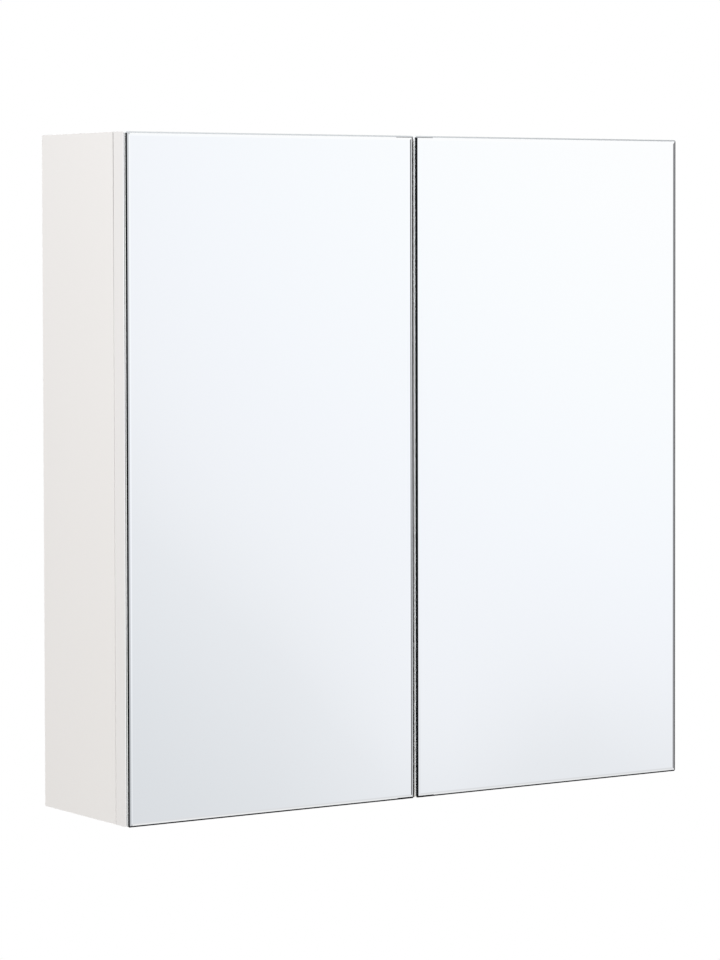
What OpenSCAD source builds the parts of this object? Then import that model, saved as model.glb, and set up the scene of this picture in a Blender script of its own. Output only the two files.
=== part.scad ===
// Wall-hung bathroom mirror cabinet: a board carcass with two full-overlay mirror doors on concealed
// cup hinges. Z is up, the wall is the plane y = 0, the doors face -Y, and the origin is the centre of
// the four wall-screw holes. All sizes are millimetres.

/* [Cabinet] */
// Overall width
cabinet_w = 600; // [500:10:900]
// Overall height
cabinet_h = 600; // [560:10:800]
// Depth from the wall to the face of the mirrors
cabinet_d = 150; // [140:1:200]
// Thickness of the side, top and bottom boards
board_t = 16; // [15:0.5:18]
// Height of the finger space under the bottom board
finger_recess = 22; // [16:1:30]
// Thickness of the back panel
back_t = 4; // [3:0.5:5]
// Depth of the groove that holds the back panel
groove_depth = 6; // [4:0.5:8]
// Thickness of the hanging rails behind the back panel
rail_t = 16; // [12:1:18]
// Height of the upper hanging rail
rail_upper_h = 70; // [66:2:100]
// Height of the lower hanging rail
rail_lower_h = 60; // [56:2:90]

/* [Wall screws] */
// Diameter of the wall-screw holes
wall_hole_d = 6.5; // [4:0.5:8]
// From the side of the cabinet to a wall screw
wall_hole_inset = 80; // [60:5:120]
// From the top or bottom of the cabinet to a wall screw
wall_hole_drop = 60; // [56:1:66]

/* [Shelves] */
// Thickness of a shelf
shelf_t = 16; // [12:1:18]
// Gap between a shelf and each side
shelf_side_gap = 1; // [0.5:0.5:2]
// Distance of a shelf back from the front of the carcass
shelf_setback = 6; // [4:1:12]
// Spacing of the rows of shelf-pin holes
hole_pitch = 32; // [25:1:32]
// Diameter of a shelf pin
shelf_pin_d = 5; // [4:0.5:6]
// Length of a shelf pin that stands out of the side
shelf_pin_reach = 9; // [7:1:12]
// Depth of a shelf-pin hole
shelf_pin_hole = 11; // [8:1:12]

/* [Doors] */
// Thickness of a door board
door_t = 18; // [16:1:19]
// Thickness of a mirror
mirror_t = 4; // [3:0.5:5]
// Width of each of the three facets ground round a mirror
mirror_facet = 1.3; // [0.6:0.1:1.5]
// Size of the clipped corners of a mirror
mirror_corner = 1.2; // [0.5:0.1:3]
// Gap between the two doors
door_gap = 3; // [2:0.5:5]
// Gap between a closed door and the carcass
door_back_gap = 1; // [1:0.1:1.5]
// Diameter of a door buffer
buffer_d = 8; // [6:1:12]

/* [Hinges] */
// From the top or bottom of a door to the middle of its hinge
hinge_drop = 100; // [90:5:115]
// Diameter of the cup let into the door
cup_d = 35; // [34.5:0.5:37]
// Distance from the edge of the door to the cup
cup_edge = 4; // [4:0.5:6]
// Depth of the pocket in the cup, from the back of the door
pocket_depth = 11.3; // [11.1:0.1:12.5]
// Thickness of the bottom of the cup
cup_floor = 1; // [0.8:0.1:1.5]
// Distance between the two screws of a cup
cup_screw_span = 45; // [45:1:52]
// Width of the inner link
inner_link_w = 6; // [5:0.5:6]
// Thickness of a cheek of the arm
cheek_t = 2; // [1.5:0.1:2.1]
// Thickness of a plate of the outer link
link_plate_t = 1.4; // [1:0.1:1.6]
// Diameter of the hinge pins
hinge_pin_d = 2.2; // [1.8:0.1:2.3]
// Distance of the mounting-plate screws behind the front of the carcass
plate_setback = 37; // [36:1:42]
// Distance between the two screws of a mounting plate
plate_screw_span = 32; // [32:1:40]
// Thickness of the wings of a mounting plate
wing_t = 2; // [1.5:0.5:2.5]
// Height of the arm's top above the side panel
arm_h = 11; // [10:0.5:13]

/* [Fasteners] */
// Diameter of a wooden dowel
dowel_d = 8; // [6:1:8]
// Length of a wooden dowel
dowel_len = 30; // [25:1:35]
// Depth of the holes drilled into the sides for dowels and cam bolts
side_hole = 11; // [9:1:12]
// Diameter of a cam
cam_d = 15; // [12:1:15]
// Height of a cam
cam_h = 12.5; // [12:0.1:13.5]
// From the end of a board to the middle of its cam
cam_inset = 34; // [30:1:40]
// Diameter of the screw thread of the hinge screws
wood_screw_d = 3.5; // [3:0.5:4]
// Length of the hinge screws in the wood
wood_screw_len = 11; // [9:1:12]

/* [Clearances] */
// Clearance round a board in its groove
groove_clearance = 0.2; // [0.1:0.1:0.4]
// Radial clearance of pins, dowels and screws fixed in their holes
fixed_clearance = 0.03; // [0.02:0.01:0.05]
// Radial clearance of cups and cams in their holes
seat_clearance = 0.1; // [0.05:0.05:0.2]
// Radial clearance of the links on their pins
running_clearance = 0.05; // [0.03:0.01:0.08]
// Sideways clearance between the moving parts of a hinge
side_play = 0.2; // [0.15:0.05:0.3]
// Clearance at the end of a blind hole
hole_end_clearance = 0.2; // [0.1:0.1:0.5]

/* [Hidden] */
$fn = 48;
left = -1;
right = 1;
upper = 1;
lower = -1;

// How far a cutting shape runs past the surface that it cuts
overrun = 1;

// Carcass
carcass_d = cabinet_d - mirror_t - door_t - door_back_gap;
inner_w = cabinet_w - 2 * board_t;
inner_x = inner_w / 2;
top_z = cabinet_h / 2;
ceiling_z = top_z - board_t;
floor_z = -top_z + finger_recess + board_t;
back_front_y = -rail_t - back_t;
groove_w = back_t + groove_clearance;
back_edge = groove_depth - groove_clearance;
wall_hole_x = cabinet_w / 2 - wall_hole_inset;
wall_hole_z = top_z - wall_hole_drop;

// Shelves: each rests on pins a whole number of holes from the middle
shelf_step = 3;
shelf_pin_r = shelf_pin_d / 2;
shelf_pin_z = shelf_step * hole_pitch;
shelf_back_gap = 0.5;
front_pin_y = -carcass_d + plate_setback;
rear_pin_inset = 26;
rear_pin_y = back_front_y - rear_pin_inset;
shelf_rear_y = back_front_y - shelf_back_gap;
shelf_front_y = -carcass_d + shelf_setback;
shelf_w = inner_w - 2 * shelf_side_gap;

// Board joints: each end of the top and bottom board has two cams and a dowel
joint_inset = 32;
rear_joint_inset = 16;
joint_front_y = -carcass_d + joint_inset;
joint_rear_y = back_front_y - rear_joint_inset;
joint_mid_y = (joint_front_y + joint_rear_y) / 2;
dowel_r = dowel_d / 2;
dowel_in_side = side_hole - hole_end_clearance;
dowel_in_board = dowel_len - dowel_in_side;
rail_dowel_inset = 18;
bolt_r = 2.5;
bolt_head_r = 3.4;
bolt_head_len = 4;
bolt_tunnel_r = 3.5;
cam_slot_gap = 0.3;
cam_slot_w = 2 * (bolt_head_r + cam_slot_gap);
cam_cross = [8, 1.6, 3];
cam_floor = 1;

// Doors; the slopes of a mirror's facets run from its rim inwards
door_w = (cabinet_w - door_gap) / 2;
facet_slopes = [26, 20, 11.5];
buffer_gap = 0.1;
buffer_t = door_back_gap - buffer_gap;
buffer_inset = 20;

// Hinge plan: x runs in from the side of the cabinet, y runs out from the front of the carcass.
// The four pivots work only as a set, so they are placed together from the cup's centre.
hinge_rise = top_z - hinge_drop;
cup_r = cup_d / 2;
cup_centre = [cup_edge + cup_r, door_back_gap];
outer_arm_pivot = cup_centre + [11.5, -13.2];
inner_arm_pivot = cup_centre + [1.5, -0.5];
outer_cup_pivot = cup_centre + [-11.9, 2.2];
inner_cup_pivot = cup_centre + [-11.5, 4.3];
// The inner link's hole for the cup pin is oversize, so that the linkage stays free as it folds
open_eye = inner_arm_pivot + [-13, 4.93];
open_eye_clearance = 0.2;
pin_r = hinge_pin_d / 2;
pin_hole_r = pin_r + running_clearance;
open_hole_r = pin_r + open_eye_clearance;
eye_wall = 1;
inner_eye_wall = 1.4;
eye_r = pin_r + eye_wall;
inner_eye_r = pin_r + inner_eye_wall;
arch_w = 2.8;
outer_rise = 8.5;
inner_rise = 7.5;
link_web_t = 1.2;
web_start = 0.5;
web_length = 0.26;

// Layers of a hinge, measured from its own middle: inner link, cheek, outer link's plate, cup wall
inner_half = inner_link_w / 2;
cheek_in = inner_half + side_play;
cheek_out = cheek_in + cheek_t;
plate_in = cheek_out + side_play;
plate_out = plate_in + link_plate_t;
pocket_half = plate_out + side_play;
pocket_reach = 15.2;
cup_pin_len = 2;
flange_gap = 0.2;
flange_t = door_back_gap - flange_gap;
flange_lip = 2;
flange_r = cup_r + flange_lip;
ear_r = 5.5;
ear_shift = 9.5;
screw_r = wood_screw_d / 2;
screw_head_r = 3.4;
screw_head_h = 1.8;
screw_head_taper = 0.8;
cross_recess_size = [3.6, 0.9, 1.8];

// Mounting plate and arm
wing_r = 6;
ridge_half = 6.4;
ridge_behind = 19;
ridge_ahead = 17;
ridge_back = plate_setback + ridge_behind;
ridge_front = plate_setback - ridge_ahead;
arm_top = board_t + arm_h;
arm_wall = 1.4;
arm_half = ridge_half + side_play + arm_wall;
arm_lift = 0.3;
arm_base = board_t + wing_t + arm_lift;
link_gap = 1.6;
arm_front = outer_arm_pivot.y - eye_r - link_gap;
nose_root = 4;
nose_low_angle = 30;
nose_high_angle = 140;
fixing_screw_r = 2.5;
fixing_head_r = 4;
fixing_head_h = 2.2;
fixing_setback = 10;
adjuster_r = 2;
adjuster_head_r = 3;
adjuster_setback = 6;
arm_screw_base = board_t + 1;

module board(low, high) {
    translate(low) cube(high - low);
}

// Draws a plan shape once above and once below the hinge's middle, between two heights
module layers(from, to) {
    for (s = [-1, 1]) {
        translate([0, 0, s > 0 ? from : -to]) linear_extrude(to - from) children();
    }
}

module slab(half) {
    translate([0, 0, -half]) linear_extrude(2 * half) children();
}

// Turns a hinge-plan drawing round to the left side of the cabinet
module left_plan() {
    translate([-cabinet_w / 2, -carcass_d, 0]) mirror([0, 1, 0]) children();
}

module on_side(side) {
    if (side == right) mirror([1, 0, 0]) left_plan() children();
    else left_plan() children();
}

module on_hinge(side, level) {
    on_side(side) translate([0, 0, level * hinge_rise]) children();
}

// A bar from p to q, bent into an arc that stands rise above the line between them
module arch(p, q, rise, inside, outside) {
    chord = norm(q - p);
    radius = (chord * chord / 4 + rise * rise) / (2 * rise);
    translate(p) rotate(atan2(q.y - p.y, q.x - p.x)) intersection() {
        translate([chord / 2, rise - radius]) difference() {
            circle(radius + outside);
            circle(radius - inside);
        }
        translate([-chord, 0]) square([3 * chord, rise + arch_w]);
    }
}

// A cylinder along X whose end is at a board joint; side is the end of the cabinet it points to
module along_x(side, from, to, radius, y, z) {
    translate([side * from, y, z]) rotate([0, side * 90, 0]) cylinder(h = to - from, r = radius);
}

module at_board_joints() {
    for (side = [left, right], z = [ceiling_z + board_t / 2, floor_z - board_t / 2]) {
        for (y = [joint_front_y, joint_rear_y]) {
            joint_end(side, z) translate([0, y, 0]) children();
        }
    }
}

// Turns a joint drawn for the left end of the top board round to any of the four board ends
module joint_end(side, z) {
    translate([0, 0, z]) mirror_if(side == right, [1, 0, 0]) mirror_if(z < 0, [0, 0, 1])
        translate([-inner_x, 0, 0]) children();
}

module mirror_if(yes, plane) {
    if (yes) mirror(plane) children();
    else children();
}

// Dowels of both kinds: [height, y] of each in one side
function dowel_places() = [
    [ceiling_z + board_t / 2, joint_mid_y],
    [floor_z - board_t / 2, joint_mid_y],
    for (s = [-1, 1]) [ceiling_z - rail_upper_h / 2 + s * (rail_upper_h / 2 - rail_dowel_inset), -rail_t / 2],
    for (s = [-1, 1]) [floor_z + rail_lower_h / 2 + s * (rail_lower_h / 2 - rail_dowel_inset), -rail_t / 2]
];

module dowel_cutters(clearance_end) {
    for (side = [left, right], place = dowel_places()) {
        along_x(side, inner_x - dowel_in_board - clearance_end, inner_x + dowel_in_side + clearance_end,
            dowel_r + (clearance_end > 0 ? fixed_clearance : 0), place[1], place[0]);
    }
}

module bolt_cutters() {
    at_board_joints() rotate([0, -90, 0]) cylinder(h = side_hole, r = bolt_r + fixed_clearance);
}

module back_groove() {
    board([-inner_x - groove_depth, -rail_t - groove_w + groove_clearance / 2, floor_z - groove_depth],
        [inner_x + groove_depth, -rail_t + groove_clearance / 2, ceiling_z + groove_depth]);
}

module side_panel(side) {
    color("#ebe8e5") difference() {
        board([side > 0 ? inner_x : -cabinet_w / 2, -carcass_d, -top_z],
            [side > 0 ? cabinet_w / 2 : -inner_x, 0, top_z]);
        back_groove();
        dowel_cutters(hole_end_clearance);
        bolt_cutters();
        for (row = [shelf_step - 1 : shelf_step + 1], level = [upper, lower]) {
            for (y = [front_pin_y, rear_pin_y]) {
                along_x(side, inner_x - overrun, inner_x + shelf_pin_hole,
                    shelf_pin_r + fixed_clearance, y, level * row * hole_pitch);
            }
        }
        for (level = [upper, lower]) on_hinge(side, level) plate_screw_shanks(hole_end_clearance);
    }
}

// The top and bottom boards share one drawing; open_face is where the cams go in
module end_board(z) {
    difference() {
        board([-inner_x, -carcass_d, z], [inner_x, 0, z + board_t]);
        back_groove();
        dowel_cutters(hole_end_clearance);
        at_board_joints() {
            rotate([0, 90, 0]) cylinder(h = cam_inset, r = bolt_tunnel_r);
            translate([cam_inset, 0, -board_t / 2 + board_t - cam_h - hole_end_clearance])
                cylinder(h = board_t, r = cam_d / 2 + seat_clearance);
        }
    }
}

module top_panel() {
    color("#edecea") end_board(ceiling_z);
}

module bottom_panel() {
    color("#edecea") end_board(floor_z - board_t);
}

module wall_holes() {
    for (x = [-wall_hole_x, wall_hole_x], z = [-wall_hole_z, wall_hole_z]) {
        translate([x, -2 * rail_t - back_t, z]) rotate([-90, 0, 0])
            cylinder(h = 4 * rail_t, r = wall_hole_d / 2);
    }
}

module back_panel() {
    color("#f2f1ef") difference() {
        board([-inner_x - back_edge, -rail_t - back_t, floor_z - back_edge],
            [inner_x + back_edge, -rail_t, ceiling_z + back_edge]);
        wall_holes();
    }
}

module hanging_rail(low, high) {
    color("#e6e2dc") difference() {
        board([-inner_x, -rail_t, low], [inner_x, 0, high]);
        dowel_cutters(hole_end_clearance);
        wall_holes();
    }
}

module shelf(level) {
    low = level * shelf_pin_z + shelf_pin_r;
    color("#f2f1ef") board([-shelf_w / 2, shelf_front_y, low], [shelf_w / 2, shelf_rear_y, low + shelf_t]);
}

module shelf_pins(level) {
    color("silver") for (side = [left, right], y = [front_pin_y, rear_pin_y]) {
        along_x(side, inner_x - shelf_pin_reach, inner_x + shelf_pin_hole - hole_end_clearance,
            shelf_pin_r, y, level * shelf_pin_z);
    }
}

// Each cam is turned so that its slot faces the bolt that it draws in
module cams() {
    color("#b9bcc0") at_board_joints() translate([cam_inset, 0, board_t / 2 - cam_h]) difference() {
        cylinder(h = cam_h, r = cam_d / 2);
        translate([-cam_d, -cam_slot_w / 2, cam_floor])
            cube([cam_d + bolt_head_r, cam_slot_w, board_t / 2 + bolt_head_r - cam_floor]);
        for (turn = [0, 90]) {
            translate([0, 0, cam_h]) rotate([0, 0, turn]) cube(cam_cross, center = true);
        }
    }
}

module cam_bolts() {
    color("#c9ccd0") at_board_joints() union() {
        rotate([0, -90, 0]) cylinder(h = side_hole - hole_end_clearance, r = bolt_r);
        rotate([0, 90, 0]) cylinder(h = cam_inset, r = bolt_r);
        translate([cam_inset - bolt_head_len / 2, 0, 0]) rotate([0, 90, 0])
            cylinder(h = bolt_head_len, r = bolt_head_r);
    }
}

module dowels() {
    color("#d9b98a") dowel_cutters(0);
}

module door_board(side) {
    color("#ecebea") difference() {
        on_side(side) translate([0, door_back_gap, -top_z]) cube([door_w, door_t, cabinet_h]);
        for (level = [upper, lower]) on_hinge(side, level) {
            on_cup() translate([0, 0, -overrun])
                cylinder(h = overrun + pocket_depth + cup_floor + hole_end_clearance,
                    r = cup_r + seat_clearance, $fn = 96);
            cup_screw_shanks(hole_end_clearance);
        }
    }
}

// A flat pane with three narrow facets ground round its front and with clipped corners
module mirror_pane(side) {
    color("#dfe9f0") on_side(side) translate([0, door_back_gap + door_t, -top_z]) intersection() {
        linear_extrude(cabinet_h) pane_profile(door_w);
        rotate([90, 0, 90]) linear_extrude(door_w) mirror([1, -1]) pane_profile(cabinet_h);
        mirror([0, 1, 0]) rotate([90, 0, 0]) linear_extrude(mirror_t) pane_outline();
    }
}

module pane_outline() {
    polygon([
        [mirror_corner, 0], [door_w - mirror_corner, 0], [door_w, mirror_corner],
        [door_w, cabinet_h - mirror_corner], [door_w - mirror_corner, cabinet_h],
        [mirror_corner, cabinet_h], [0, cabinet_h - mirror_corner], [0, mirror_corner]
    ]);
}

module pane_profile(length) {
    inner = mirror_t - mirror_facet * tan(facet_slopes[2]);
    middle = inner - mirror_facet * tan(facet_slopes[1]);
    outer = middle - mirror_facet * tan(facet_slopes[0]);
    far = length - mirror_facet;
    polygon([
        [0, 0], [length, 0], [length, outer], [far, middle], [far - mirror_facet, inner],
        [far - 2 * mirror_facet, mirror_t], [3 * mirror_facet, mirror_t], [2 * mirror_facet, inner],
        [mirror_facet, middle], [0, outer]
    ]);
}

module door_buffers(side) {
    color("#f4f4f2") on_side(side) for (z = [ceiling_z + board_t / 2, floor_z - board_t / 2]) {
        translate([door_w - buffer_inset, door_back_gap, z]) rotate([90, 0, 0])
            cylinder(h = buffer_t, r = buffer_d / 2);
    }
}

// Turns a drawing with its axis along Z so that it goes into the back of the door at the cup
module on_cup() {
    translate(cup_centre) rotate([-90, 0, 0]) children();
}

module cup_screw_places() {
    for (s = [-1, 1]) translate([ear_shift, s * cup_screw_span / 2, 0]) children();
}

module cup_screw_shanks(end_clearance) {
    on_cup() cup_screw_places() translate([0, 0, -flange_t])
        cylinder(h = flange_t + wood_screw_len + end_clearance,
            r = screw_r + (end_clearance > 0 ? fixed_clearance : 0));
}

module hinge_cup(side, level) {
    color("#c4c7ca") on_hinge(side, level) {
        difference() {
            on_cup() union() {
                cylinder(h = pocket_depth + cup_floor, r = cup_r, $fn = 96);
                translate([0, 0, -flange_t]) {
                    cylinder(h = flange_t, r = flange_r, $fn = 96);
                    translate([ear_shift - ear_r, -cup_screw_span / 2, 0])
                        cube([2 * ear_r, cup_screw_span, flange_t]);
                    cup_screw_places() cylinder(h = flange_t, r = ear_r);
                }
            }
            slab(pocket_half) translate([cup_centre.x - pocket_reach, 0])
                square([2 * pocket_reach, door_back_gap + pocket_depth]);
            cup_screw_shanks(overrun);
            slab(pocket_half + cup_pin_len) translate(outer_cup_pivot) circle(pin_r + fixed_clearance);
        }
        difference() {
            layers(cheek_in, cheek_out) cup_lug();
            slab(cheek_out + overrun) translate(inner_cup_pivot) circle(pin_r + fixed_clearance);
        }
    }
}

// A lug that stands on the cup's floor and holds the inner link's pin
module cup_lug() {
    translate(inner_cup_pivot) circle(eye_r);
    translate([inner_cup_pivot.x - eye_r, inner_cup_pivot.y])
        square([2 * eye_r, door_back_gap + pocket_depth + cup_floor / 2 - inner_cup_pivot.y]);
}

// Two short pins in the cup's walls carry the outer link, one pin between the lugs the inner link
module cup_pins(side, level) {
    color("#e2e4e6") on_hinge(side, level) {
        layers(plate_in, pocket_half + cup_pin_len - hole_end_clearance)
            translate(outer_cup_pivot) circle(pin_r);
        slab(cheek_out) translate(inner_cup_pivot) circle(pin_r);
    }
}

module cup_screws(side, level) {
    color("#d5d7d9") on_hinge(side, level) {
        cup_screw_shanks(0);
        on_cup() cup_screw_places() translate([0, 0, -flange_t - screw_head_h]) difference() {
            cylinder(h = screw_head_h, r1 = screw_head_r * screw_head_taper, r2 = screw_head_r);
            cross_recess();
        }
    }
}

module cross_recess() {
    for (turn = [0, 90]) rotate([0, 0, turn]) cube(cross_recess_size, center = true);
}

// Turns a drawing with its axis along Z so that it goes into the side panel at the mounting plate
module on_plate() {
    translate([board_t, -plate_setback, 0]) rotate([0, -90, 0]) children();
}

module plate_screw_places() {
    for (s = [-1, 1]) translate([s * plate_screw_span / 2, 0, 0]) children();
}

module plate_screw_shanks(end_clearance) {
    on_plate() plate_screw_places() translate([0, 0, -wing_t])
        cylinder(h = wing_t + wood_screw_len + end_clearance,
            r = screw_r + (end_clearance > 0 ? fixed_clearance : 0));
}

// The screws that hold the arm on the plate: one fixes it, one sets its height
function arm_screws() = [
    [-ridge_back + fixing_setback, fixing_screw_r, fixing_head_r],
    [-ridge_front - adjuster_setback, adjuster_r, adjuster_head_r]
];

module mounting_plate(side, level) {
    color("#bfc2c6") on_hinge(side, level) difference() {
        union() {
            on_plate() translate([0, 0, -wing_t]) {
                plate_screw_places() cylinder(h = wing_t, r = wing_r);
                translate([-plate_screw_span / 2, -wing_r, 0]) cube([plate_screw_span, 2 * wing_r, wing_t]);
            }
            slab(ridge_half) translate([board_t, -ridge_back])
                square([arm_h - arm_wall - side_play, ridge_back - ridge_front]);
        }
        plate_screw_shanks(overrun);
        for (screw = arm_screws()) translate([arm_screw_base, screw[0], 0]) rotate([0, 90, 0])
            cylinder(h = arm_h, r = screw[1] + fixed_clearance);
    }
}

module plate_screws(side, level) {
    color("#d5d7d9") on_hinge(side, level) {
        plate_screw_shanks(0);
        on_plate() plate_screw_places() translate([0, 0, -wing_t - screw_head_h]) difference() {
            cylinder(h = screw_head_h, r1 = screw_head_r * screw_head_taper, r2 = screw_head_r);
            cross_recess();
        }
        for (screw = arm_screws()) translate([0, screw[0], 0]) rotate([0, 90, 0]) difference() {
            union() {
                translate([0, 0, arm_screw_base + hole_end_clearance])
                    cylinder(h = arm_top - arm_screw_base - hole_end_clearance, r = screw[1]);
                translate([0, 0, arm_top]) cylinder(h = fixing_head_h, r = screw[2]);
            }
            translate([0, 0, arm_top + fixing_head_h]) cross_recess();
        }
    }
}

// The arm is a channel over the plate's ridge; its nose narrows to two cheeks that hold both pins
module hinge_arm(side, level) {
    color("#c4c7ca") on_hinge(side, level) difference() {
        union() {
            slab(arm_half) translate([arm_top - arm_wall, -ridge_back])
                square([arm_wall, ridge_back + arm_front]);
            layers(arm_half - arm_wall, arm_half) translate([arm_base, -ridge_back])
                square([arm_top - arm_base, ridge_back + arm_front]);
            layers(cheek_in, arm_half) translate([arm_base, arm_front - arm_wall])
                square([arm_top - arm_base, arm_wall]);
            layers(cheek_in, cheek_out) nose_plan();
            slab(cheek_out) nose_bridge();
        }
        for (screw = arm_screws()) translate([board_t, screw[0], 0]) rotate([0, 90, 0])
            cylinder(h = arm_h + overrun, r = screw[1] + fixed_clearance);
        for (pivot = [outer_arm_pivot, inner_arm_pivot]) {
            slab(arm_half + overrun) translate(pivot) circle(pin_r + fixed_clearance);
        }
    }
}

// The point of an eye's rim at an angle from the back of the cabinet
function on_rim(pivot, angle) = pivot + inner_eye_r * [sin(angle), -cos(angle)];

module nose_plan() {
    for (pivot = [outer_arm_pivot, inner_arm_pivot]) translate(pivot) circle(inner_eye_r);
    polygon([
        [arm_base, arm_front - arm_wall],
        [arm_top, arm_front - arm_wall],
        on_rim(outer_arm_pivot, nose_low_angle),
        on_rim(outer_arm_pivot, nose_high_angle),
        on_rim(inner_arm_pivot, nose_high_angle),
        on_rim(inner_arm_pivot, 270),
        [arm_base, arm_front + nose_root]
    ]);
}

// Joins the two cheeks behind the outer pivot
module nose_bridge() {
    low = [arm_top - arm_wall, arm_front - arm_wall];
    high = on_rim(outer_arm_pivot, nose_low_angle);
    polygon([low, low + [arm_wall, 0], high, high - [arm_wall, 0]]);
}

module arm_pins(side, level) {
    color("#e2e4e6") on_hinge(side, level) {
        slab(plate_out) translate(outer_arm_pivot) circle(pin_r);
        slab(cheek_out) translate(inner_arm_pivot) circle(pin_r);
    }
}

// Two arched plates outside the arm, joined by a web across their middle
module outer_link(side, level) {
    chord = norm(outer_arm_pivot - outer_cup_pivot);
    color("#cfd2d5") on_hinge(side, level) {
        layers(plate_in, plate_out) difference() {
            union() {
                arch(outer_cup_pivot, outer_arm_pivot, outer_rise, arch_w / 2, arch_w / 2);
                for (pivot = [outer_cup_pivot, outer_arm_pivot]) translate(pivot) circle(eye_r);
            }
            for (pivot = [outer_cup_pivot, outer_arm_pivot]) translate(pivot) circle(pin_hole_r);
        }
        slab(plate_out) intersection() {
            arch(outer_cup_pivot, outer_arm_pivot, outer_rise, link_web_t - arch_w / 2, arch_w / 2);
            translate(outer_cup_pivot)
                rotate(atan2(outer_arm_pivot.y - outer_cup_pivot.y, outer_arm_pivot.x - outer_cup_pivot.x))
                    translate([web_start * chord, 0]) square([web_length * chord, 2 * outer_rise]);
        }
    }
}

module inner_link(side, level) {
    color("#cfd2d5") on_hinge(side, level) slab(inner_half) difference() {
        union() {
            arch(open_eye, inner_arm_pivot, inner_rise, arch_w / 2, arch_w / 2);
            translate(open_eye) circle(inner_eye_r);
            translate(inner_arm_pivot) circle(eye_r);
        }
        translate(open_eye) circle(open_hole_r);
        translate(inner_arm_pivot) circle(pin_hole_r);
    }
}

side_panel(left);  // side_panel_left
side_panel(right);  // side_panel_right
top_panel();
bottom_panel();
back_panel();
hanging_rail(ceiling_z - rail_upper_h, ceiling_z);  // hanging_rail_upper
hanging_rail(floor_z, floor_z + rail_lower_h);  // hanging_rail_lower
shelf(upper);  // shelf_upper
shelf(lower);  // shelf_lower
shelf_pins(upper);  // shelf_pins_upper
shelf_pins(lower);  // shelf_pins_lower
cams();
cam_bolts();
dowels();
door_board(left);  // door_board_left
door_board(right);  // door_board_right
mirror_pane(left);  // mirror_left
mirror_pane(right);  // mirror_right
door_buffers(left);  // door_buffers_left
door_buffers(right);  // door_buffers_right
mounting_plate(left, upper);  // mounting_plate_left_upper
mounting_plate(left, lower);  // mounting_plate_left_lower
mounting_plate(right, upper);  // mounting_plate_right_upper
mounting_plate(right, lower);  // mounting_plate_right_lower
plate_screws(left, upper);  // plate_screws_left_upper
plate_screws(left, lower);  // plate_screws_left_lower
plate_screws(right, upper);  // plate_screws_right_upper
plate_screws(right, lower);  // plate_screws_right_lower
hinge_arm(left, upper);  // hinge_arm_left_upper
hinge_arm(left, lower);  // hinge_arm_left_lower
hinge_arm(right, upper);  // hinge_arm_right_upper
hinge_arm(right, lower);  // hinge_arm_right_lower
arm_pins(left, upper);  // arm_pins_left_upper
arm_pins(left, lower);  // arm_pins_left_lower
arm_pins(right, upper);  // arm_pins_right_upper
arm_pins(right, lower);  // arm_pins_right_lower
outer_link(left, upper);  // outer_link_left_upper
outer_link(left, lower);  // outer_link_left_lower
outer_link(right, upper);  // outer_link_right_upper
outer_link(right, lower);  // outer_link_right_lower
inner_link(left, upper);  // inner_link_left_upper
inner_link(left, lower);  // inner_link_left_lower
inner_link(right, upper);  // inner_link_right_upper
inner_link(right, lower);  // inner_link_right_lower
hinge_cup(left, upper);  // hinge_cup_left_upper
hinge_cup(left, lower);  // hinge_cup_left_lower
hinge_cup(right, upper);  // hinge_cup_right_upper
hinge_cup(right, lower);  // hinge_cup_right_lower
cup_pins(left, upper);  // cup_pins_left_upper
cup_pins(left, lower);  // cup_pins_left_lower
cup_pins(right, upper);  // cup_pins_right_upper
cup_pins(right, lower);  // cup_pins_right_lower
cup_screws(left, upper);  // cup_screws_left_upper
cup_screws(left, lower);  // cup_screws_left_lower
cup_screws(right, upper);  // cup_screws_right_upper
cup_screws(right, lower);  // cup_screws_right_lower
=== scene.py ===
import math

import bpy
from mathutils import Matrix, Vector

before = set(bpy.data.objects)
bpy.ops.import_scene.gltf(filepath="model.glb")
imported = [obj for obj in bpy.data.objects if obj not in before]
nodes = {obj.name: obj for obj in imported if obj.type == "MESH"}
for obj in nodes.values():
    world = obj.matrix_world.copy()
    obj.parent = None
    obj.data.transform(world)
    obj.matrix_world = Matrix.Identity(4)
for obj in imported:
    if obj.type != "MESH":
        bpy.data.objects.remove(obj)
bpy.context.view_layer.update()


# Shader tools
class Wire:  # an output socket that can be used in Python sums
    def __init__(self, graph, socket):
        self.graph = graph
        self.socket = socket

    def maths(self, operation, *others, clamp=False):
        values = dict(enumerate((self, *others)))
        return self.graph.node("ShaderNodeMath", {"operation": operation, "use_clamp": clamp}, values)

    def __add__(self, other):
        return self.maths("ADD", other)

    def __mul__(self, other):
        return self.maths("MULTIPLY", other)

    def __sub__(self, other):
        return self.maths("SUBTRACT", other)

    def __truediv__(self, other):
        return self.maths("DIVIDE", other)

    def __rsub__(self, other):
        return self.graph.node("ShaderNodeMath", {"operation": "SUBTRACT"}, {0: other, 1: self})

    def __gt__(self, other):
        return self.maths("GREATER_THAN", other)

    def __lt__(self, other):
        return self.maths("LESS_THAN", other)

    def __abs__(self):
        return self.maths("ABSOLUTE")

    __radd__ = __add__
    __rmul__ = __mul__


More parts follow.
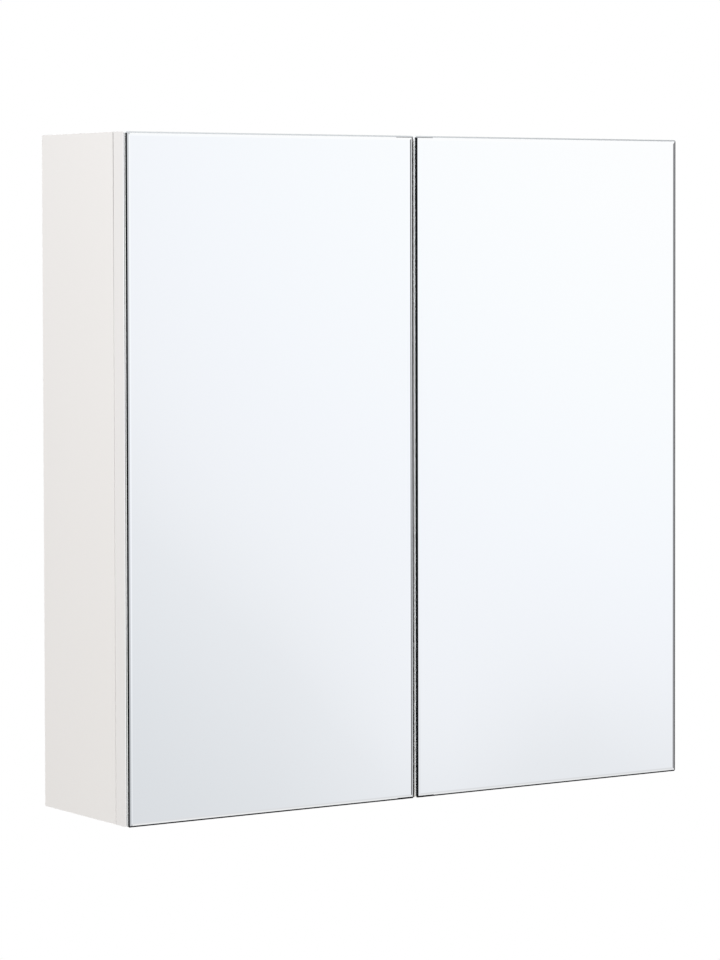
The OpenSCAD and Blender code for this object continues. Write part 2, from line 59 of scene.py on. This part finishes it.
class Graph:  # one node tree and the ways to fill it
    def __init__(self, tree):
        self.tree = tree
        tree.nodes.clear()

    def node(self, kind, settings=None, sockets=None, output=0):
        made = self.tree.nodes.new(kind)
        for name, value in (settings or {}).items():
            if name == "stops":
                self.setStops(made.color_ramp, value)
            else:
                setattr(made, name, value)
        for name, value in (sockets or {}).items():
            if isinstance(value, Wire):
                self.tree.links.new(value.socket, made.inputs[name])
            else:
                made.inputs[name].default_value = value
        return Wire(self, made.outputs[output]) if made.outputs else made

    def setStops(self, ramp, stops):
        ramp.elements.remove(ramp.elements[1])
        for count, (place, shade) in enumerate(stops):
            element = ramp.elements.new(place) if count else ramp.elements[0]
            element.position = place
            element.color = (*shade, 1)

    def place(self):  # where a point is on the closed cabinet, in metres
        return self.node("ShaderNodeTexCoord", output="Object")

    def axes(self, vector):
        split = self.node("ShaderNodeSeparateXYZ", sockets={0: vector})
        return [Wire(self, output) for output in split.socket.node.outputs]

    def stretched(self, scale):
        return self.node("ShaderNodeMapping", sockets={"Vector": self.place(), "Scale": scale})

    def noise(self, scale, detail=2.0, roughness=0.5, vector=None):
        sockets = {"Vector": vector or self.place(), "Scale": scale, "Detail": detail, "Roughness": roughness}
        return self.node("ShaderNodeTexNoise", sockets=sockets)

    def ramp(self, value, stops, interpolation):
        made = self.node("ShaderNodeValToRGB", {"stops": stops}, {0: value})
        made.socket.node.color_ramp.interpolation = interpolation
        return made

    def blend(self, factor, first, second):  # mixes two colours
        first, second = [(*c, 1) if isinstance(c, tuple) else c for c in (first, second)]
        return self.node("ShaderNodeMix", {"data_type": "RGBA"}, {0: factor, 6: first, 7: second}, output=2)

    def span(self, value, low, high, fromLow=0.0, fromHigh=1.0):
        return self.node("ShaderNodeMapRange", sockets={
            "Value": value, "From Min": fromLow, "From Max": fromHigh, "To Min": low, "To Max": high})

    def bump(self, height, distance, strength):
        sockets = {"Height": height, "Distance": distance, "Strength": strength}
        return self.node("ShaderNodeBump", sockets=sockets)


def newMaterial(name, build):
    made = bpy.data.materials.new(name)
    made.use_nodes = True
    graph = Graph(made.node_tree)
    surface = graph.node("ShaderNodeBsdfPrincipled", sockets=build(graph))
    graph.node("ShaderNodeOutputMaterial", sockets={"Surface": surface})
    return made


def dress(material, *starts):  # gives a material to every node whose name starts so
    for name, item in nodes.items():
        if name.startswith(starts):
            item.data.materials.clear()
            item.data.materials.append(material)


def boxOf(start):  # from where to where the pieces whose names start so reach along x, y and z
    pieces = [item for name, item in nodes.items() if name.startswith(start)]
    points = [point.co for item in pieces for point in item.data.vertices]
    return [(round(min(values), 6), round(max(values), 6)) for values in zip(*points)]


def between(value, low, high):  # 1 where a value lies between two others
    return (value > low) * (value < high)


def flag(*tests):  # 1 where every test holds
    product = tests[0]
    for test in tests[1:]:
        product = product * test
    return product


def grainedSkin(graph, look, clouds, lines):  # the clouds give the colour, the lines the gloss and relief
    return {
        "Base Color": graph.blend(clouds, look["shade"], look["shadeDark"]),
        "Metallic": look["metallic"],
        "Roughness": graph.span(lines, *look["roughness"]),
        "Normal": graph.bump(lines, *look["bump"]),
    }


# Painted boards
# A noise is given by its scale, detail and roughness, and a bump by its depth in metres and its strength.
boardLook = {
    "paint": (0.855, 0.834, 0.811),
    "paintShade": (0.845, 0.823, 0.799),
    "doorPaint": (0.828, 0.810, 0.793),
    "doorPaintShade": (0.817, 0.799, 0.782),
    "mottle": (5.0, 3.0),
    "rub": (34.0, 5.0, 0.6),
    "peel": (420.0, 2.0),
    "bump": (0.00002, 0.6),
    "roughness": (0.34, 0.42),
    "specular": 0.5,
    "paintedSeamShadow": (0.26, 0.25, 0.235),  # painted shadow of the seam between door and side panel, clearest towards the top
    "paintedSeamShadowIn": 0.0007,  # from a side panel's outer face
    "paintedSeamShadowDepth": 0.00015,  # from its front edge
    "paintedSeamShadowFade": (0.15, 0.8),  # how strong it is at the two heights below
    "paintedSeamShadowHeights": (0.12, 0.30),
    "core": (0.43, 0.31, 0.20),  # bare fibreboard in holes and grooves
    "coreDark": (0.33, 0.23, 0.14),
    "coreFibres": (900.0, 4.0, 0.7),
    "coreGrain": (1600.0, 3.0),
    "coreRelief": 4.0,
    "coreRoughness": 0.45,
    "skin": 0.00005,  # a side panel is bare from this far inside its faces, so only in its cuts
}


def paintedBoard(graph, bare, paint="paint"):  # satin paint, and the fibreboard's core where bare is 1
    mottle = graph.noise(*boardLook["mottle"])
    shade = graph.blend(mottle, boardLook[paint], boardLook[paint + "Shade"])
    rub = graph.noise(*boardLook["rub"])
    peel = graph.noise(*boardLook["peel"])
    grain = graph.noise(*boardLook["coreGrain"])
    fibres = graph.noise(*boardLook["coreFibres"])
    core = graph.blend(fibres, boardLook["core"], boardLook["coreDark"])
    relief = peel + bare * grain * boardLook["coreRelief"]
    return {
        "Base Color": graph.blend(bare, shade, core),
        "Roughness": graph.span(rub, *boardLook["roughness"]) + bare * boardLook["coreRoughness"],
        "Specular IOR Level": boardLook["specular"],
        "Normal": graph.bump(relief, *boardLook["bump"]),
    }


def carcassBoard(graph):  # bare core shows in the holes and grooves of the side panels, and a painted seam shadow runs along their front outer corners
    (inner, outer), (front, rear), (bottom, top) = boxOf("side_panel_right")
    skin = boardLook["skin"]
    x, y, z = graph.axes(graph.place())
    width = abs(x)
    bare = flag(between(width, inner + skin, outer - skin), between(y, front + skin, rear - skin),
                between(z, bottom + skin, top - skin))
    board = paintedBoard(graph, bare)
    # painted shadow of the door seam along the side panel's front outer corner, fading downwards
    paintedSeamShadow = flag(width > outer - boardLook["paintedSeamShadowIn"], y < front + boardLook["paintedSeamShadowDepth"],
                graph.span(z, *boardLook["paintedSeamShadowFade"], *boardLook["paintedSeamShadowHeights"]))
    board["Base Color"] = graph.blend(paintedSeamShadow, board["Base Color"], boardLook["paintedSeamShadow"])
    return board


def plainBoard(graph):
    return paintedBoard(graph, 0.0)


doorLook = {
    "paintedEdgeHighlight": (0.95, 0.95, 0.95),  # painted highlight: the pale strip along the board's front, next to the mirror, stands in for light on its eased edge
    "paintedEdgeHighlightDepth": 0.0016,
    "cupIn": (0.04, 0.0005),  # the hinge cups' holes, from the board's outer edge
    "cupDepth": (0.0025, 0.00005),  # from its front and rear faces
    "cupReach": 0.03,  # up and down from the middle of a hinge
}


def doorBoard(graph):  # bare core shows in the hinge cups' holes, and a painted highlight runs along the board's front
    (_, outer), (front, rear), _ = boxOf("door_board_right")
    hinge = sum(boxOf("hinge_cup_right_upper")[2]) / 2
    far, near = doorLook["cupIn"]
    ahead, behind = doorLook["cupDepth"]
    x, y, z = graph.axes(graph.place())
    bare = flag(between(abs(x), outer - far, outer - near), between(y, front + ahead, rear - behind),
                abs(abs(z) - hinge) < doorLook["cupReach"])
    board = paintedBoard(graph, bare, "doorPaint")
    # painted highlight along the front of the board's edges
    paintedEdgeHighlight = y < front + doorLook["paintedEdgeHighlightDepth"]
    board["Base Color"] = graph.blend(paintedEdgeHighlight, board["Base Color"], doorLook["paintedEdgeHighlight"])
    return board


edgeLook = {"weld": 0.000005, "width": 0.0005, "segments": 2, "angle": 40.0}


def easeEdges(*starts):  # takes the sharpness off the boards' edges
    for name, item in nodes.items():
        if name.startswith(starts):
            weld = item.modifiers.new("weld", "WELD")
            weld.merge_threshold = edgeLook["weld"]
            bevel = item.modifiers.new("easedEdge", "BEVEL")
            bevel.width = edgeLook["width"]
            bevel.segments = edgeLook["segments"]
            bevel.limit_method = "ANGLE"
            bevel.angle_limit = math.radians(edgeLook["angle"])
            bevel.harden_normals = True


dress(newMaterial("satinWhiteCarcass", carcassBoard), "side_panel")
dress(newMaterial("satinWhiteDoor", doorBoard), "door_board")
dress(newMaterial("satinWhiteBoard", plainBoard), "top_panel", "bottom_panel", "shelf_upper", "shelf_lower")
easeEdges("side_panel", "door_board", "top_panel", "bottom_panel", "shelf_upper", "shelf_lower",
          "hanging_rail")
print("painted boards done")


# Back panel and hanging rails
backLook = {
    "face": (0.86, 0.85, 0.83),
    "faceShade": (0.83, 0.82, 0.80),
    "grain": (1.0, 2.0),
    "stretch": (40.0, 40.0, 700.0),
    "rear": (0.46, 0.34, 0.225),
    "rearDark": (0.36, 0.255, 0.16),
    "rearSkin": 0.00005,  # the hardboard is bare this far in from its rear face
    "rearRoughness": 0.3,
    "fibres": (260.0, 6.0, 0.7),
    "fibreRelief": 0.6,
    "screenScale": 700.0,
    "bump": (0.00006, 0.7),
    "roughness": (0.42, 0.50),
}


def backBoard(graph):  # white in front, bare hardboard with its screen pattern behind
    x, y, z = graph.axes(graph.place())
    rear = y > boxOf("back_panel")[1][1] - backLook["rearSkin"]
    screen = (x * backLook["screenScale"]).maths("SINE") * (z * backLook["screenScale"]).maths("SINE")
    fibres = graph.noise(*backLook["fibres"])
    grain = graph.noise(*backLook["grain"], vector=graph.stretched(backLook["stretch"]))
    face = graph.blend(grain, backLook["face"], backLook["faceShade"])
    back = graph.blend(fibres, backLook["rear"], backLook["rearDark"])
    return {
        "Base Color": graph.blend(rear, face, back),
        "Roughness": graph.span(fibres, *backLook["roughness"]) + rear * backLook["rearRoughness"],
        "Normal": graph.bump(screen * rear + fibres * backLook["fibreRelief"], *backLook["bump"]),
    }


railLook = {
    "shade": (0.80, 0.775, 0.735),
    "shadeDark": (0.77, 0.745, 0.70),
    "metallic": 0.0,
    "grain": (1.0, 5.0, 0.6),
    "stretch": (14.0, 300.0, 300.0),
    "bump": (0.00003, 0.6),
    "roughness": (0.40, 0.52),
}


def railBoard(graph):  # melamine paper with a faint long grain
    grain = graph.noise(*railLook["grain"], vector=graph.stretched(railLook["stretch"]))
    return grainedSkin(graph, railLook, grain, grain)


dress(newMaterial("hardboardBack", backBoard), "back_panel")
dress(newMaterial("melamineRail", railBoard), "hanging_rail")
print("back and rails done")


# Mirrors
mirrorLook = {
    "silver": (0.985, 0.992, 0.998),
    "silverDepth": (0.00073, 0.00060),  # how deep the silver goes, at the outer rims and at the gap
    "gapReach": 0.02,
    "half": (0.62, 0.63, 0.64),  # painted shade: on the outer left rim the middle facet is darkened, standing in for a darker reflection there
    "halfIn": 0.0039,
    "halfDepth": 0.00028,
    # painted shade: the ground facet is near black, a painted reflection of dark surroundings
    "ground": (0.012, 0.013, 0.014),
    "groundDepth": (0.0017, 0.0023),  # how deep the ground facet goes, likewise
    # painted highlight: the top facet is painted light, standing in for light from above
    "groundTop": (0.80, 0.82, 0.83),
    "topIn": 0.0013,
    # the glass side is pale, and made brighter still as a painted sheen
    "edge": (0.93, 0.95, 0.945),
    "paint": (0.05, 0.05, 0.053),  # the backing's dark paint shows on the outer sides alone
    "paintIn": 0.0004,
    "paintDepth": 0.0029,
    "haze": (9.0, 4.0, 0.6),
    "hazeRoughness": (0.006, 0.022),
    "grit": (1500.0, 3.0),
    "gritRoughness": (0.16, 0.30),
    "bump": (0.00001, 0.5),
    "ior": 1.52,
}


def silveredGlass(graph):  # silver in front, a ground facet painted near black as a painted dark reflection and painted light on top as a highlight from above, the pale side with a painted sheen, and the painted back
    (left, right), (front, _), (_, top) = boxOf("mirror")
    x, y, z = graph.axes(graph.place())
    width = abs(x)
    gap = width < mirrorLook["gapReach"]
    silver = y < graph.span(gap, *[front + depth for depth in mirrorLook["silverDepth"]])
    # painted darker reflection on the outer left rim's middle facet
    half = flag(x < left + mirrorLook["halfIn"], y > front + mirrorLook["halfDepth"])
    # where the facet is, it is painted dark, as a painted reflection
    ground = y < graph.span(gap, *[front + depth for depth in mirrorLook["groundDepth"]])
    haze = graph.noise(*mirrorLook["haze"])
    grit = graph.noise(*mirrorLook["grit"])
    painted = flag(y > front + mirrorLook["paintDepth"], width > right - mirrorLook["paintIn"])
    # pale side lightened by a painted sheen, with the backing's paint on the outer sides
    side = graph.blend(painted, mirrorLook["edge"], mirrorLook["paint"])
    # painted highlight on the top facet, for light from above
    facet = graph.blend(z > top - mirrorLook["topIn"], mirrorLook["ground"], mirrorLook["groundTop"])
    glass = graph.blend(ground, side, facet)
    polished = graph.blend(half, mirrorLook["silver"], mirrorLook["half"])
    matt = graph.span(grit, *mirrorLook["gritRoughness"])
    return {
        "Base Color": graph.blend(silver, glass, polished),
        "Metallic": ground,
        "Roughness": matt + silver * (graph.span(haze, *mirrorLook["hazeRoughness"]) - matt),
        "Normal": graph.bump(grit * (1 - silver), *mirrorLook["bump"]),
        "IOR": mirrorLook["ior"],
    }


dress(newMaterial("silveredGlass", silveredGlass), "mirror")
print("mirrors done")


# Hinges, screws, pins and cams
nickelLook = {
    "shade": (0.70, 0.71, 0.72),
    "shadeDark": (0.60, 0.61, 0.62),
    "metallic": 1.0,
    "clouds": (120.0, 3.0),
    "lines": (1.0, 4.0, 0.6),
    "stretch": (900.0, 900.0, 60.0),
    "bump": (0.000012, 0.6),
    "roughness": (0.20, 0.36),
}


def pressedNickel(graph):  # plated steel with faint drawing lines
    lines = graph.noise(*nickelLook["lines"], vector=graph.stretched(nickelLook["stretch"]))
    return grainedSkin(graph, nickelLook, graph.noise(*nickelLook["clouds"]), lines)


steelLook = {
    "shade": (0.80, 0.81, 0.82),
    "shadeDark": (0.68, 0.69, 0.71),
    "metallic": 1.0,
    "clouds": (300.0, 4.0),
    "lines": (1.0, 3.0),
    "stretch": (1800.0, 1800.0, 1800.0),
    "bump": (0.000008, 0.5),
    "roughness": (0.14, 0.28),
}


def brightSteel(graph):  # screws, pins and bolts
    lines = graph.noise(*steelLook["lines"], vector=graph.stretched(steelLook["stretch"]))
    return grainedSkin(graph, steelLook, graph.noise(*steelLook["clouds"]), lines)


zincLook = {
    "shade": (0.54, 0.55, 0.57),
    "shadeDark": (0.40, 0.41, 0.43),
    "metallic": 1.0,
    "grain": (700.0, 5.0, 0.65),
    "bump": (0.00006, 0.7),
    "roughness": (0.38, 0.55),
}


def castZinc(graph):  # tumbled casting with a grainy skin
    grain = graph.noise(*zincLook["grain"])
    return grainedSkin(graph, zincLook, grain, grain)


dress(newMaterial("pressedNickel", pressedNickel),
      "mounting_plate", "hinge_arm", "outer_link", "inner_link", "hinge_cup")
dress(newMaterial("brightSteel", brightSteel),
      "plate_screws", "cup_screws", "arm_pins", "cup_pins", "shelf_pins", "cam_bolts")
dress(newMaterial("castZinc", castZinc), "cams")
print("metal parts done")


# Dowels and door buffers
beechLook = {
    "shade": (0.62, 0.43, 0.26),
    "shadeDark": (0.47, 0.30, 0.17),
    "metallic": 0.0,
    "grain": (1.0, 5.0, 0.6),
    "stretch": (40.0, 900.0, 900.0),
    "bump": (0.00006, 0.7),
    "roughness": (0.50, 0.68),
}


def beechWood(graph):
    grain = graph.noise(*beechLook["grain"], vector=graph.stretched(beechLook["stretch"]))
    return grainedSkin(graph, beechLook, grain, grain)


bufferLook = {
    "shade": (0.80, 0.80, 0.77),
    "shadeDark": (0.74, 0.74, 0.71),
    "metallic": 0.0,
    "grain": (1200.0, 3.0),
    "bump": (0.00002, 0.6),
    "roughness": (0.45, 0.60),
}


def softBuffer(graph):
    grain = graph.noise(*bufferLook["grain"])
    return grainedSkin(graph, bufferLook, grain, grain)


dress(newMaterial("beechWood", beechWood), "dowels")
dress(newMaterial("softBuffer", softBuffer), "door_buffers")
print("small parts done")


# Floor
floorLook = {
    "height": -4.9,  # low enough for a look at the underside
    "radius": 8.0,
    "corners": 96,
    "shade": (0.80, 0.80, 0.79),
    "dusty": 0.98,
    "dust": (2.0, 3.0),
    "roughness": 0.8,
    "bounce": (0.78, 0.71, 0.60),  # the floor's colour for the light that it throws on the object
    "glow": (0.80, 1.0),  # how far the floor is lifted to white in its middle and at its rim
    "glowRadius": (2.0, 6.0),
    "mirrored": (0.85, 1.0),  # the same where the mirrors show it, with the shade of its rim there
    "mirroredRim": (0.74, 0.75, 0.77),
    "mirroredRadius": (3.0, 8.0),
}


def makeFloor():
    mesh = bpy.data.meshes.new("floor")
    radius, height, corners = floorLook["radius"], floorLook["height"], floorLook["corners"]
    ring = [math.tau * step / corners for step in range(corners)]
    points = [(radius * math.cos(turn), radius * math.sin(turn), height) for turn in ring]
    mesh.from_pydata(points, [], [range(corners)])
    floor = bpy.data.objects.new("floor", mesh)
    bpy.context.scene.collection.objects.link(floor)
    made = bpy.data.materials.new("paleFloor")
    made.use_nodes = True
    graph = Graph(made.node_tree)
    dust = graph.noise(*floorLook["dust"])
    seen = graph.node("ShaderNodeLightPath", output="Is Camera Ray")
    thrown = graph.node("ShaderNodeLightPath", output="Is Diffuse Ray")
    mirrored = graph.node("ShaderNodeLightPath", output="Is Glossy Ray")
    dusty = tuple(floorLook["dusty"] * part for part in floorLook["shade"])
    skin = graph.blend(dust, floorLook["shade"], dusty)
    plain = graph.node("ShaderNodeBsdfPrincipled", sockets={
        "Base Color": graph.blend(thrown, skin, floorLook["bounce"]), "Roughness": floorLook["roughness"]})
    across, along, _ = graph.axes(graph.place())
    away = (across * across + along * along).maths("SQRT")
    lift = graph.span(away, *floorLook["glow"], *floorLook["glowRadius"])
    fade = graph.span(away, 0.0, 1.0, *floorLook["mirroredRadius"])
    white = graph.node("ShaderNodeEmission", sockets={"Color": (1, 1, 1, 1), "Strength": 1.0})
    rim = graph.node("ShaderNodeEmission", sockets={
        "Color": (*floorLook["mirroredRim"], 1), "Strength": 1.0})
    bright = graph.node("ShaderNodeMixShader", sockets={0: mirrored * fade, 1: white, 2: rim})
    lifted = seen * lift + mirrored * graph.span(fade, *floorLook["mirrored"])
    surface = graph.node("ShaderNodeMixShader", sockets={0: lifted, 1: plain, 2: bright})
    graph.node("ShaderNodeOutputMaterial", sockets={"Surface": surface})
    mesh.materials.append(made)


makeFloor()
print("floor done")


# World and lamps
worldLook = {
    "upper": (0.99, 1.0, 1.0),
    "lower": (0.88, 0.83, 0.79),
    "ambientHeights": (-0.4, 0.6),  # between these the ambient light goes from lower to upper
    "ambient": 0.556,
    "softboxTurn": 42.0,  # degrees to the right of straight in front of the mirrors
    "softboxRise": 6.0,
    "softboxTall": 0.8,  # how much of its fall is left out above its middle
    "softboxFall": [
        (0.0, (1.0, 1.0, 1.0)), (0.10, (1.0, 1.0, 1.0)), (0.15, (0.965, 0.985, 1.0)),
        (0.20, (0.92, 0.942, 0.98)), (0.235, (0.89, 0.907, 0.943)), (0.265, (0.825, 0.843, 0.872)),
        (0.325, (0.67, 0.695, 0.72)), (0.50, (0.74, 0.75, 0.77)), (1.0, (0.70, 0.71, 0.72))],
    "fallDegrees": 60.0,
    "patchHeights": (-60.0, -12.0, 1.5),  # low patches, by heading: a paler one and a greyer one
    "patches": [((33.2, 35.3, 1.0), -0.013), ((36.0, 60.0, 1.0), 0.017)],
    "panels": [(-28.0, 16.0, 3.0), (69.0, 76.5, 2.0)],  # from, to and softness of other bright panels
    "panelAway": 8.0,
    "wall": (54.5, 100.0, 1.5),  # dark surfaces far to the right, which draw the mirrors' edges
    "wallShade": (0.27, 0.27, 0.28),
    "card": (54.5, 59.6, 1.2),
    "cardShade": (0.11, 0.11, 0.115),
}


def strip(graph, degrees, low, high, soft):  # 1 between two headings or heights, with soft ends
    inside = (degrees - low).maths("MINIMUM", high - degrees)
    return graph.span(inside, 0.0, 1.0, -soft, soft)


def makeWorld():
    world = bpy.data.worlds.new("studio")
    bpy.context.scene.world = world
    world.use_nodes = True
    graph = Graph(world.node_tree)
    way = graph.node("ShaderNodeTexCoord", output="Generated")
    across, along, height = graph.axes(way)
    rise = graph.span(height, 0.0, 1.0, *worldLook["ambientHeights"])
    ambient = graph.blend(rise, worldLook["lower"], worldLook["upper"])
    heading = across.maths("ARCTAN2", 0 - along) * math.degrees(1)
    climb = height.maths("ARCSINE") * math.degrees(1) - worldLook["softboxRise"]
    climb = climb - climb.maths("MAXIMUM", 0.0) * worldLook["softboxTall"]
    sideways = heading - worldLook["softboxTurn"]
    panels = [strip(graph, heading, *panel) for panel in worldLook["panels"]]
    for panel in panels:
        sideways = sideways * (1 - panel) + panel * worldLook["panelAway"]
    away = (sideways * sideways + climb * climb).maths("SQRT") / worldLook["fallDegrees"]
    low = strip(graph, climb, *worldLook["patchHeights"])
    for headings, fall in worldLook["patches"]:
        away = away + strip(graph, heading, *headings) * low * fall
    softbox = graph.ramp(away, worldLook["softboxFall"], "B_SPLINE")
    wall = strip(graph, heading, *worldLook["wall"]) * (1 - panels[1])
    softbox = graph.blend(wall, softbox, worldLook["wallShade"])
    softbox = graph.blend(strip(graph, heading, *worldLook["card"]), softbox, worldLook["cardShade"])
    seen = graph.node("ShaderNodeLightPath", output="Is Camera Ray")
    glossy = graph.node("ShaderNodeLightPath", output="Is Glossy Ray")
    through = graph.node("ShaderNodeLightPath", output="Is Transmission Ray")
    lit = graph.node("ShaderNodeBackground", sockets={"Color": ambient, "Strength": worldLook["ambient"]})
    shown = graph.node("ShaderNodeBackground", sockets={"Color": softbox, "Strength": 1.0})
    white = graph.node("ShaderNodeBackground", sockets={"Color": (1, 1, 1, 1), "Strength": 1.0})
    first = graph.node("ShaderNodeMixShader", sockets={0: glossy, 1: lit, 2: shown})
    plain = seen.maths("ADD", through, clamp=True)
    both = graph.node("ShaderNodeMixShader", sockets={0: plain, 1: first, 2: white})
    graph.node("ShaderNodeOutputWorld", sockets={"Surface": both})


lamps = {
    "keyLamp": {"place": (-2.38, -2.35, 2.3), "size": 1.5, "power": 131.0, "shade": (0.975, 1.0, 1.05)},
    "fillLamp": {"place": (3.5, -1.1, 0.6), "size": 1.6, "power": 44.0, "shade": (1.0, 1.0, 1.0)},
    "rearLamp": {"place": (0.6, 3.2, 0.8), "size": 1.6, "power": 62.0, "shade": (1.0, 1.0, 1.0)},
}


def makeLamps():
    for name, lamp in lamps.items():
        data = bpy.data.lights.new(name, "AREA")
        data.shape = "SQUARE"
        data.size = lamp["size"]
        data.energy = lamp["power"]
        data.color = lamp["shade"]
        item = bpy.data.objects.new(name, data)
        item.location = lamp["place"]
        item.rotation_euler = (-Vector(lamp["place"])).to_track_quat("-Z", "Y").to_euler()
        item.visible_glossy = False  # mirrors and metal show the world, not the lamps
        bpy.context.scene.collection.objects.link(item)


makeWorld()
makeLamps()
print("world and lamps done")


# Camera, at the place that the cabinet's corners give
cameraLook = {
    "place": (-1.87644, -2.88884, 0.20871),
    "yaw": 0.585607, "pitch": -0.033392, "roll": -0.002116, "shiftY": -0.125,
    "focalPixels": 3675.2, "framePixels": 960, "sensor": 36.0, "clip": (0.1, 60.0),
}


def makeCamera():
    data = bpy.data.cameras.new("camera")
    data.sensor_width = cameraLook["sensor"]
    data.lens = cameraLook["focalPixels"] * cameraLook["sensor"] / cameraLook["framePixels"]
    data.shift_y = cameraLook["shiftY"]
    data.clip_start, data.clip_end = cameraLook["clip"]
    camera = bpy.data.objects.new("camera", data)
    yaw, pitch = cameraLook["yaw"], cameraLook["pitch"]
    ahead = Vector((math.sin(yaw) * math.cos(pitch), math.cos(yaw) * math.cos(pitch), math.sin(pitch)))
    right = Vector((math.cos(yaw), -math.sin(yaw), 0))
    up = right.cross(ahead)
    roll = cameraLook["roll"]
    tilted = right * math.cos(roll) + up * math.sin(roll)
    upright = up * math.cos(roll) - right * math.sin(roll)
    camera.matrix_world = Matrix.Translation(cameraLook["place"]) @ Matrix(
        (tilted, upright, -ahead)).transposed().to_4x4()
    bpy.context.scene.collection.objects.link(camera)
    bpy.context.scene.camera = camera


makeCamera()
bpy.context.scene.view_settings.view_transform = "Standard"
print("camera done")
